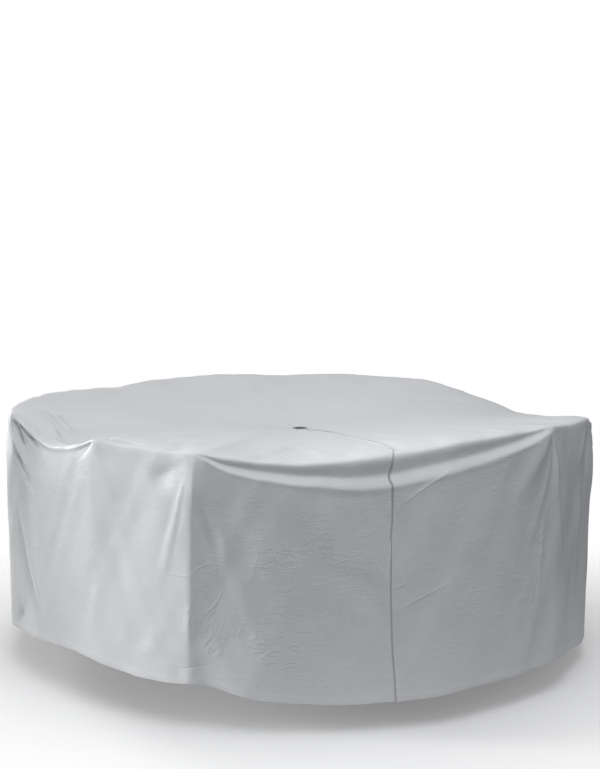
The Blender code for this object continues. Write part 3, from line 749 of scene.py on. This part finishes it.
def crease_height(finish, across, run):
    """The thin creases: each is a narrow bell across its bowed line, fading to both ends."""
    total = 0.0
    for row in CREASES:
        crease = dict(zip(CREASE_COLUMNS, row))
        first_across, first_down = place_in_cut(crease["start_angle"], crease["start_run"])
        last_across, last_down = place_in_cut(crease["end_angle"], crease["end_run"])
        step_across, step_down = last_across - first_across, last_down - first_down
        length = math.hypot(step_across, step_down)
        off_across, off_down = across - first_across, run - first_down
        along = off_across * (step_across / length**2) + off_down * (step_down / length**2)
        side = off_across * (step_down / length) - off_down * (step_across / length)
        hump = finish.maths("MAXIMUM", along * (1.0 - along) * 4.0, 0.0)
        bell = finish.bell(side - hump * crease["bow"], 0.0, crease["width"])
        total = bell * hump * crease["height"] + total
    return total


# Patches of fine crinkles: middle angle and run, half sizes across and down, and strength.
PATCH_COLUMNS = ("angle", "run", "across", "down", "strength")
FLAT_CRINKLES = (  # lines nearly level
    (266.0, 0.600, 0.120, 0.075, 1.0),
    (270.0, 0.330, 0.200, 0.100, 0.45),
    (306.0, 0.560, 0.180, 0.110, 0.55),
    (290.0, 0.690, 0.200, 0.060, 0.60),
    (254.0, 0.400, 0.050, 0.060, 0.60),
)
UPRIGHT_CRINKLES = (  # lines nearly upright, or slanting
    (317.0, 0.450, 0.060, 0.200, 0.9),
    (254.5, 0.560, 0.050, 0.090, 0.6),
    (270.0, 0.300, 0.120, 0.080, 0.35),
)
ALL_OVER = 0.4  # the strength that they have outside the patches
CALM_SIDE = (186.0, 200.0, 232.0, 256.0)  # the angles between which they fade, and come back
CALM_SHARE = 0.65  # and how much they fade
CRINKLE_LINE, CRINKLE_WIDTH = 0.5, 0.06  # they lie where their noise has this value
CRINKLE_HEIGHT = 0.00085
LEVEL_SCALE, UPRIGHT_SCALE, UPRIGHT_SLANT = (16.0, 46.0), (44.0, 15.0), 14.0
BROKEN = (0.42, 0.56)  # and are whole where a slow noise is over the second of these

# Noises: scale, detail, roughness and distortion.
CLOUDY, BLOTCHY, GRAIN = (3.1, 3.0, 0.55, 0.0), (14.0, 4.0, 0.6, 0.4), (420.0, 2.0, 0.6, 0.0)
CRINKLED, BREAKS = (1.0, 1.0, 0.5, 0.6), (15.0, 1.0, 0.5, 0.0)
DUST, TAPE_FUZZ, THREAD_FUZZ = (60.0, 3.0, 0.6, 0.0), (900.0, 2.0, 0.6, 0.0), (1400.0, 2.0, 0.6, 0.0)

WEAVE_PITCH = 0.0016
STITCH_PITCH, HEM_STITCH_PITCH = 0.0050, 0.0055
STITCH_WIDTH, HEM_STITCH_WIDTH = 0.0007, 0.0008
STITCH_ASIDE = 0.0085  # how far from the closing the stitches run
STITCH_ENDS = (-0.75, -0.35)  # where in a sine a stitch begins
STITCH_HEIGHT = 0.00025
# The hem's edge is painted paler over this width: a painted highlight for light bounced up from the floor.
HEM_HIGHLIGHT_WIDTH = 0.0016  # of the hem's own edge
RIB_PITCH, TEETH_WIDTH = 0.0018, 0.0009

FABRIC_GREY = (0.573, 0.580, 0.590)
# The tape's dark greys are partly its own colour and partly painted shade along the closing line.
TAPE_GREYS = ((0.355, 0.362, 0.372, 1.0), (0.470, 0.478, 0.490, 1.0))  # clean, and dusty
# The binding's greys are painted shade between the threads and a painted highlight on their crests.
THREAD_SHADED_AND_LIT_GREYS = ((0.270, 0.278, 0.290, 1.0), (0.420, 0.430, 0.442, 1.0))  # between the threads, and on them


def patches(finish, rows, across, run):
    """The sum of soft oval patches."""
    total = 0.0
    for row in rows:
        patch = dict(zip(PATCH_COLUMNS, row))
        off = (across - angle_across(patch["angle"])) / patch["across"]
        down = (run - patch["run"]) / patch["down"]
        total = finish.maths("EXPONENT", -(off * off + down * down)) * patch["strength"] + total
    return total


def cover_fabric():
    """Grey polyester with a soft coating: a fine plain weave, slow mottling, crinkles from how it was
    folded, thin creases, and stitches along the closing and the hem, whose edge is painted paler: a
    painted highlight for light bounced up from the floor."""
    finish = Finish("Coated grey cover fabric", metallic=0.0, specular_ior_level=0.35)
    across, run = finish.map_of("Cut")
    from_closing, from_hem = finish.map_of("Edges")
    place = finish.place()

    cloudy, blotchy, grain = (finish.noise(place, *noise) for noise in (CLOUDY, BLOTCHY, GRAIN))
    level = finish.noise(finish.vector(across * LEVEL_SCALE[0], run * LEVEL_SCALE[1]), *CRINKLED)
    slanting = across * UPRIGHT_SCALE[0] + run * UPRIGHT_SLANT
    upright = finish.noise(finish.vector(slanting, run * UPRIGHT_SCALE[1]), *CRINKLED)
    broken = finish.ramp(finish.noise(place, *BREAKS), *BROKEN)

    threads = finish.wave(across, WEAVE_PITCH) * finish.wave(run, WEAVE_PITCH)
    stitch_dash = finish.ramp(finish.wave(run, STITCH_PITCH), *STITCH_ENDS)
    hem_dash = finish.ramp(finish.wave(across, HEM_STITCH_PITCH), *STITCH_ENDS)
    stitches = finish.bell(from_closing, STITCH_ASIDE, STITCH_WIDTH) * stitch_dash
    stitches = stitches + finish.bell(from_hem, HEM_FOLD, HEM_STITCH_WIDTH) * hem_dash

    calm_from = finish.ramp(across, angle_across(CALM_SIDE[0]), angle_across(CALM_SIDE[1]))
    calm_to = finish.ramp(across, angle_across(CALM_SIDE[2]), angle_across(CALM_SIDE[3]))
    everywhere = (1.0 - (calm_from - calm_to) * CALM_SHARE) * ALL_OVER
    level_share = patches(finish, FLAT_CRINKLES, across, run) + everywhere
    upright_share = patches(finish, UPRIGHT_CRINKLES, across, run) + everywhere * 0.5
    fine = finish.bell(level, CRINKLE_LINE, CRINKLE_WIDTH) * level_share
    fine = fine + finish.bell(upright, CRINKLE_LINE, CRINKLE_WIDTH) * upright_share

    height = (cloudy - 0.5) * 0.0050 + (blotchy - 0.5) * 0.0016 + grain * 0.00005
    height = height + threads * 0.000008 + stitches * STITCH_HEIGHT
    finish.raise_by(height + fine * broken * CRINKLE_HEIGHT + crease_height(finish, across, run))

    shade = (cloudy - 0.5) * 0.10 + (blotchy - 0.5) * 0.07 + (grain - 0.5) * 0.05
    # The stitches are paler thread; the hem's pale edge is a painted highlight for light bounced up from the
    # floor.
    stitch_tone_and_hem_highlight = stitches * 0.10 + finish.bell(from_hem, 0.0, HEM_HIGHLIGHT_WIDTH) * 0.16
    light = finish.maths("ADD", shade + stitch_tone_and_hem_highlight, 1.0)
    colour = finish.node("ShaderNodeVectorMath", {"operation": "SCALE"}, {0: FABRIC_GREY, "Scale": light})
    finish.feed(finish.shader.inputs["Base Color"], colour.outputs[0])
    finish.feed(finish.shader.inputs["Roughness"], (blotchy - 0.5) * 0.16 + grain * 0.10 + 0.50)
    return finish.material


def closing_tape():
    """Dark grey tape, its darkness partly its own colour and partly painted shade along the closing line:
    ribs across it, a row of small closed teeth along its middle, dust in the ribs.
    """
    finish = Finish("Dark closing tape", metallic=0.0)
    aside, run = finish.map_of("Along")
    place = finish.place()
    ribs = finish.wave(run, RIB_PITCH)
    teeth = finish.bell(aside, 0.0, TEETH_WIDTH) * finish.ramp(ribs, -0.4, 0.6)
    dust, fuzz = finish.noise(place, *DUST), finish.noise(place, *TAPE_FUZZ)
    finish.raise_by(ribs * 0.00006 + teeth * 0.00025 + fuzz * 0.00005)
    share = finish.ramp(dust, 0.35, 0.75) * 0.45 + fuzz * 0.15
    # Partly painted shade: the dark grey also stands for the shadow along the closing line; the paler grey is
    # dust.
    colour = finish.mix(share, *TAPE_GREYS)
    finish.feed(finish.shader.inputs["Base Color"], colour)
    finish.feed(finish.shader.inputs["Roughness"], 0.52 + fuzz * 0.2)
    return finish.material


def bound_edge():
    """Grey binding: threads slant over it, with painted shade between them and a painted highlight on their
    crests, which are paler.
    """
    finish = Finish("Grey binding thread", metallic=0.0)
    along, turn = finish.map_of("Along")
    place = finish.place()
    path_radius = HOLE_RADIUS - SEWN_GAP - BINDING_RADIUS
    crest = finish.sine(along * (THREAD_TURNS / path_radius) + turn + math.pi / 2.0)
    twist = finish.sine(along * (9.0 * THREAD_TURNS / path_radius) - turn * 6.0)
    fuzz = finish.noise(place, *THREAD_FUZZ)
    finish.raise_by(crest * 0.00005 + twist * 0.00002 + fuzz * 0.00004)
    # Painted shade and highlight: darker between the threads, paler on their crests.
    share = finish.ramp(crest, -1.0, 1.0) * 0.8 + fuzz * 0.2
    colour = finish.mix(share, *THREAD_SHADED_AND_LIT_GREYS)
    finish.feed(finish.shader.inputs["Base Color"], colour)
    finish.feed(finish.shader.inputs["Roughness"], 0.6 + fuzz * 0.2)
    return finish.material


def studio_floor():
    """Pale matt floor that passes into the white backdrop with the distance from its middle."""
    finish = Finish("Pale studio floor", base_color=(0.62, 0.62, 0.62, 1.0), roughness=0.8)
    finish.feed(finish.shader.inputs["Emission Color"], (1.0, 1.0, 1.0, 1.0))
    finish.feed(finish.shader.inputs["Emission Strength"], FLOOR_GLOW)
    length = finish.node("ShaderNodeVectorMath", {"operation": "LENGTH"}, {0: finish.place()})
    far = finish.ramp(Value(finish, length.outputs["Value"]), *FLOOR_FADE)
    clear = finish.node("ShaderNodeBsdfTransparent")
    blend = finish.node("ShaderNodeMixShader", inputs={0: far})
    finish.feed(blend.inputs[1], finish.shader.outputs[0])
    finish.feed(blend.inputs[2], clear.outputs[0])
    output = finish.tree.nodes["Material Output"]
    finish.feed(output.inputs["Surface"], blend.outputs[0])
    return finish.material


# ---- The studio --------------------------------------------------------------------------------------------
AREA_LIGHT_COLUMNS = ("name", "place", "aim", "size", "spread", "power", "colour")
AREA_LIGHTS = (
    ("Left strip", (-6.70, -0.95, 0.83), (-0.30, -1.75, -0.30), 1.2, 26.0, 19.0, (1.0, 1.0, 1.0)),
    ("Left softbox", (-5.7, 1.6, 2.1), (0.0, 0.0, -0.30), 2.0, 180.0, 10.0, (1.0, 1.0, 1.0)),
    ("Far left strip", (-5.0, 4.5, 0.6), (-1.1, -0.2, -0.30), 1.6, 40.0, 24.0, (1.0, 1.0, 1.0)),
    ("Overhead softbox", (0.6, 0.3, 4.6), (0.2, 0.0, 0.0), 4.6, 180.0, 74.0, (1.0, 1.0, 1.0)),
    ("Back softbox", (0.0, 3.5, 4.2), (0.0, 0.0, 0.0), 3.0, 180.0, 68.0, (1.0, 1.0, 1.0)),
    ("Front softbox", (0.0, -3.0, 4.2), (0.0, 0.0, 0.0), 3.0, 180.0, 124.0, (0.955, 0.969, 1.0)),
    ("Right fill", (2.97, -5.14, 2.34), (0.0, 0.0, -0.30), 3.0, 180.0, 53.0, (0.935, 0.953, 1.0)),
)
AMBIENT = 0.18  # the strength of the even light
AMBIENT_COLOUR = (0.95, 0.968, 1.0, 1.0)


def add_camera():
    """The photograph's camera: 5 m in front, a little above the cover, tilted down."""
    data = bpy.data.cameras.new("Camera")
    data.lens, data.sensor_width, data.sensor_fit = CAMERA_LENS, CAMERA_SENSOR, "AUTO"
    camera = bpy.data.objects.new("Camera", data)
    camera.location = CAMERA_PLACE
    camera.rotation_euler = (math.radians(90.0) - CAMERA_TILT, 0.0, 0.0)
    bpy.context.scene.collection.objects.link(camera)
    bpy.context.scene.camera = camera


def add_lights():
    """The area lights, a faint even light from all sides, and a white backdrop that only the camera sees."""
    for row in AREA_LIGHTS:
        light = dict(zip(AREA_LIGHT_COLUMNS, row))
        data = bpy.data.lights.new(light["name"], "AREA")
        data.shape = "SQUARE"
        data.size, data.spread = light["size"], math.radians(light["spread"])
        data.energy, data.color = light["power"], light["colour"]
        lamp = bpy.data.objects.new(light["name"], data)
        lamp.location = light["place"]
        aim = Vector(light["aim"]) - Vector(light["place"])
        lamp.rotation_euler = aim.to_track_quat("-Z", "Y").to_euler()
        bpy.context.scene.collection.objects.link(lamp)
    world = bpy.data.worlds.new("Studio")
    world.use_nodes = True
    nodes, links = world.node_tree.nodes, world.node_tree.links
    even = nodes["Background"]
    even.inputs["Color"].default_value = AMBIENT_COLOUR
    even.inputs["Strength"].default_value = AMBIENT
    backdrop = nodes.new("ShaderNodeBackground")
    path = nodes.new("ShaderNodeLightPath")
    mix = nodes.new("ShaderNodeMixShader")
    links.new(path.outputs["Is Camera Ray"], mix.inputs[0])
    links.new(even.outputs[0], mix.inputs[1])
    links.new(backdrop.outputs[0], mix.inputs[2])
    backdrop.inputs["Color"].default_value = (1.0, 1.0, 1.0, 1.0)
    links.new(mix.outputs[0], nodes["World Output"].inputs["Surface"])
    bpy.context.scene.world = world
    bpy.context.scene.view_settings.view_transform = "Standard"


def add_floor():
    """A round floor, in rings from its middle."""
    rings = FLOOR_RADIUS * FLOOR_RINGS[None, :]
    turn = np.radians(FLOOR_SPOKES)[:, None]
    level = 0.0 * rings * turn + FLOOR_HEIGHT
    points = np.stack([rings * np.cos(turn), rings * np.sin(turn), level], axis=-1)
    floor = grid_object("studio_floor", points, {})
    floor.data.flip_normals()
    floor.data.materials.append(studio_floor())


def main():
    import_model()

    add_camera()
    add_lights()
    add_floor()

    pieces = (
        (cover_cloth(), cover_fabric(), "cover_cloth", "cover_fabric"),
        (closing_strip(), closing_tape(), "closing_strip", "closing"),
        (hole_binding(), bound_edge(), "hole_binding", "binding"),
    )
    for piece, material, node, slot in pieces:
        piece.data.materials.append(material)
        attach(piece, "root")
        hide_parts(node)


main()
